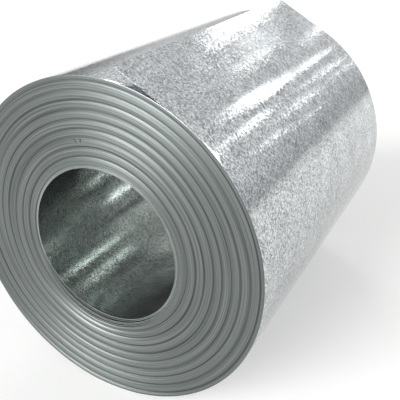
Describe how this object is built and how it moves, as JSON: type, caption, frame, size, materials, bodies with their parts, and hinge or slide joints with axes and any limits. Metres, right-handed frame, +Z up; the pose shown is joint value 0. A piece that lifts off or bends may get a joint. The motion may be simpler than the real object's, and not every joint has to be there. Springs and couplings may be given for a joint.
{
  "type": "steel coil",
  "caption": "Coil of galvanised steel strip lying on its side, with an open bore, ringed ends and a lifted tail of sheet at its rim.",
  "frame": {"origin": "middle of the bore, on the coil's axis", "axes": "+Y along the coil's axis, away from the end that the picture shows; +Z up, with the tail near the top and leaning towards -X"},
  "size_m": [1.072, 1.254, 1.1232],
  "materials": {
    "galvanised_steel": "Hot-dip galvanised strip with a fine spangle: bright outside, duller in the bore, and matt grey on the slit edges that make up both ends."
  },
  "bodies": {
    "root": {"steel_coil": "galvanised_steel"}
  },
  "joints": []
}
